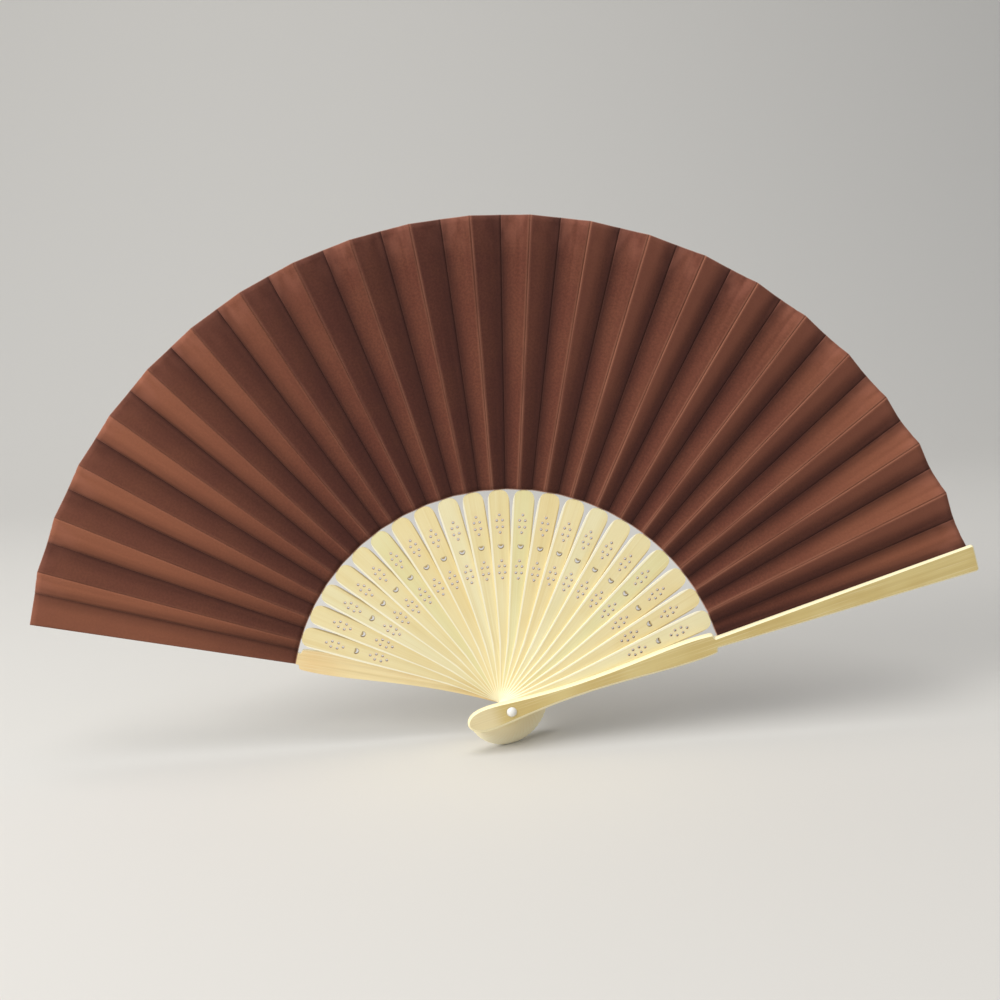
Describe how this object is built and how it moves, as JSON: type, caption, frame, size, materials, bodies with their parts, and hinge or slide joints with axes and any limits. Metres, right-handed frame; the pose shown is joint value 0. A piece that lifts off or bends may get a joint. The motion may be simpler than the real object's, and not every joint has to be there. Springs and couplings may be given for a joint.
{
  "type": "folding hand fan",
  "caption": "Folding hand fan, fully open: pierced pale wooden ribs and two plain guards on one rivet, with a brown cloth leaf pleated between them.",
  "frame": {"origin": "On the rivet's axis, half way through the stack of sticks, where a hand holds the heads of the sticks.", "axes": "+Z is the middle of the open spread, +X runs towards the front guard's side, the rivet lies along Y and the front is at -Y."},
  "size_m": [0.3731, 0.025, 0.2064],
  "materials": {
    "guard_wood": "satin",
    "rib_wood": "satin",
    "leaf_cloth": "matte",
    "rivet_plastic": "gloss"
  },
  "bodies": {
    "back_guard": {"back_guard": "guard_wood", "rivet": "rivet_plastic", "rivet_cap": "rivet_plastic", "leaf_end": "leaf_cloth"},
    "rib_21": {"rib_21": "rib_wood", "leaf_pleat_21": "leaf_cloth"},
    "rib_20": {"rib_20": "rib_wood", "leaf_pleat_20": "leaf_cloth"},
    "rib_19": {"rib_19": "rib_wood", "leaf_pleat_19": "leaf_cloth"},
    "rib_18": {"rib_18": "rib_wood", "leaf_pleat_18": "leaf_cloth"},
    "rib_17": {"rib_17": "rib_wood", "leaf_pleat_17": "leaf_cloth"},
    "rib_16": {"rib_16": "rib_wood", "leaf_pleat_16": "leaf_cloth"},
    "rib_15": {"rib_15": "rib_wood", "leaf_pleat_15": "leaf_cloth"},
    "rib_14": {"rib_14": "rib_wood", "leaf_pleat_14": "leaf_cloth"},
    "rib_13": {"rib_13": "rib_wood", "leaf_pleat_13": "leaf_cloth"},
    "rib_12": {"rib_12": "rib_wood", "leaf_pleat_12": "leaf_cloth"},
    "rib_11": {"rib_11": "rib_wood", "leaf_pleat_11": "leaf_cloth"},
    "rib_10": {"rib_10": "rib_wood", "leaf_pleat_10": "leaf_cloth"},
    "rib_09": {"rib_09": "rib_wood", "leaf_pleat_09": "leaf_cloth"},
    "rib_08": {"rib_08": "rib_wood", "leaf_pleat_08": "leaf_cloth"},
    "rib_07": {"rib_07": "rib_wood", "leaf_pleat_07": "leaf_cloth"},
    "rib_06": {"rib_06": "rib_wood", "leaf_pleat_06": "leaf_cloth"},
    "rib_05": {"rib_05": "rib_wood", "leaf_pleat_05": "leaf_cloth"},
    "rib_04": {"rib_04": "rib_wood", "leaf_pleat_04": "leaf_cloth"},
    "rib_03": {"rib_03": "rib_wood", "leaf_pleat_03": "leaf_cloth"},
    "rib_02": {"rib_02": "rib_wood", "leaf_pleat_02": "leaf_cloth"},
    "rib_01": {"rib_01": "rib_wood", "leaf_pleat_01": "leaf_cloth"},
    "front_guard": {"front_guard": "guard_wood", "leaf_pleat_00": "leaf_cloth"}
  },
  "joints": [
    {"name": "fan_fold", "type": "hinge", "parent": "back_guard", "child": "rib_21", "pos_m": [0, 0, 0], "axis": [0, -1, 0], "range_deg": [0, 6.85], "deforming": ["leaf_pleat_21"]},
    {"name": "fold_20", "type": "hinge", "parent": "rib_21", "child": "rib_20", "pos_m": [0, 0, 0], "axis": [0, -1, 0], "range_deg": [0, 6.85], "deforming": ["leaf_pleat_20"]},
    {"name": "fold_19", "type": "hinge", "parent": "rib_20", "child": "rib_19", "pos_m": [0, 0, 0], "axis": [0, -1, 0], "range_deg": [0, 6.85], "deforming": ["leaf_pleat_19"]},
    {"name": "fold_18", "type": "hinge", "parent": "rib_19", "child": "rib_18", "pos_m": [0, 0, 0], "axis": [0, -1, 0], "range_deg": [0, 6.85], "deforming": ["leaf_pleat_18"]},
    {"name": "fold_17", "type": "hinge", "parent": "rib_18", "child": "rib_17", "pos_m": [0, 0, 0], "axis": [0, -1, 0], "range_deg": [0, 6.85], "deforming": ["leaf_pleat_17"]},
    {"name": "fold_16", "type": "hinge", "parent": "rib_17", "child": "rib_16", "pos_m": [0, 0, 0], "axis": [0, -1, 0], "range_deg": [0, 6.85], "deforming": ["leaf_pleat_16"]},
    {"name": "fold_15", "type": "hinge", "parent": "rib_16", "child": "rib_15", "pos_m": [0, 0, 0], "axis": [0, -1, 0], "range_deg": [0, 6.85], "deforming": ["leaf_pleat_15"]},
    {"name": "fold_14", "type": "hinge", "parent": "rib_15", "child": "rib_14", "pos_m": [0, 0, 0], "axis": [0, -1, 0], "range_deg": [0, 6.85], "deforming": ["leaf_pleat_14"]},
    {"name": "fold_13", "type": "hinge", "parent": "rib_14", "child": "rib_13", "pos_m": [0, 0, 0], "axis": [0, -1, 0], "range_deg": [0, 6.85], "deforming": ["leaf_pleat_13"]},
    {"name": "fold_12", "type": "hinge", "parent": "rib_13", "child": "rib_12", "pos_m": [0, 0, 0], "axis": [0, -1, 0], "range_deg": [0, 6.85], "deforming": ["leaf_pleat_12"]},
    {"name": "fold_11", "type": "hinge", "parent": "rib_12", "child": "rib_11", "pos_m": [0, 0, 0], "axis": [0, -1, 0], "range_deg": [0, 6.85], "deforming": ["leaf_pleat_11"]},
    {"name": "fold_10", "type": "hinge", "parent": "rib_11", "child": "rib_10", "pos_m": [0, 0, 0], "axis": [0, -1, 0], "range_deg": [0, 6.85], "deforming": ["leaf_pleat_10"]},
    {"name": "fold_09", "type": "hinge", "parent": "rib_10", "child": "rib_09", "pos_m": [0, 0, 0], "axis": [0, -1, 0], "range_deg": [0, 6.85], "deforming": ["leaf_pleat_09"]},
    {"name": "fold_08", "type": "hinge", "parent": "rib_09", "child": "rib_08", "pos_m": [0, 0, 0], "axis": [0, -1, 0], "range_deg": [0, 6.85], "deforming": ["leaf_pleat_08"]},
    {"name": "fold_07", "type": "hinge", "parent": "rib_08", "child": "rib_07", "pos_m": [0, 0, 0], "axis": [0, -1, 0], "range_deg": [0, 6.85], "deforming": ["leaf_pleat_07"]},
    {"name": "fold_06", "type": "hinge", "parent": "rib_07", "child": "rib_06", "pos_m": [0, 0, 0], "axis": [0, -1, 0], "range_deg": [0, 6.85], "deforming": ["leaf_pleat_06"]},
    {"name": "fold_05", "type": "hinge", "parent": "rib_06", "child": "rib_05", "pos_m": [0, 0, 0], "axis": [0, -1, 0], "range_deg": [0, 6.85], "deforming": ["leaf_pleat_05"]},
    {"name": "fold_04", "type": "hinge", "parent": "rib_05", "child": "rib_04", "pos_m": [0, 0, 0], "axis": [0, -1, 0], "range_deg": [0, 6.85], "deforming": ["leaf_pleat_04"]},
    {"name": "fold_03", "type": "hinge", "parent": "rib_04", "child": "rib_03", "pos_m": [0, 0, 0], "axis": [0, -1, 0], "range_deg": [0, 6.85], "deforming": ["leaf_pleat_03"]},
    {"name": "fold_02", "type": "hinge", "parent": "rib_03", "child": "rib_02", "pos_m": [0, 0, 0], "axis": [0, -1, 0], "range_deg": [0, 6.85], "deforming": ["leaf_pleat_02"]},
    {"name": "fold_01", "type": "hinge", "parent": "rib_02", "child": "rib_01", "pos_m": [0, 0, 0], "axis": [0, -1, 0], "range_deg": [0, 6.85], "deforming": ["leaf_pleat_01"]},
    {"name": "fold_00", "type": "hinge", "parent": "rib_01", "child": "front_guard", "pos_m": [0, 0, 0], "axis": [0, -1, 0], "range_deg": [0, 6.85], "deforming": ["leaf_pleat_00"]}
  ],
  "couplings": [
    {"joint": "fold_20", "follows": "fan_fold", "ratio": 1},
    {"joint": "fold_19", "follows": "fan_fold", "ratio": 1},
    {"joint": "fold_18", "follows": "fan_fold", "ratio": 1},
    {"joint": "fold_17", "follows": "fan_fold", "ratio": 1},
    {"joint": "fold_16", "follows": "fan_fold", "ratio": 1},
    {"joint": "fold_15", "follows": "fan_fold", "ratio": 1},
    {"joint": "fold_14", "follows": "fan_fold", "ratio": 1},
    {"joint": "fold_13", "follows": "fan_fold", "ratio": 1},
    {"joint": "fold_12", "follows": "fan_fold", "ratio": 1},
    {"joint": "fold_11", "follows": "fan_fold", "ratio": 1},
    {"joint": "fold_10", "follows": "fan_fold", "ratio": 1},
    {"joint": "fold_09", "follows": "fan_fold", "ratio": 1},
    {"joint": "fold_08", "follows": "fan_fold", "ratio": 1},
    {"joint": "fold_07", "follows": "fan_fold", "ratio": 1},
    {"joint": "fold_06", "follows": "fan_fold", "ratio": 1},
    {"joint": "fold_05", "follows": "fan_fold", "ratio": 1},
    {"joint": "fold_04", "follows": "fan_fold", "ratio": 1},
    {"joint": "fold_03", "follows": "fan_fold", "ratio": 1},
    {"joint": "fold_02", "follows": "fan_fold", "ratio": 1},
    {"joint": "fold_01", "follows": "fan_fold", "ratio": 1},
    {"joint": "fold_00", "follows": "fan_fold", "ratio": 1}
  ]
}
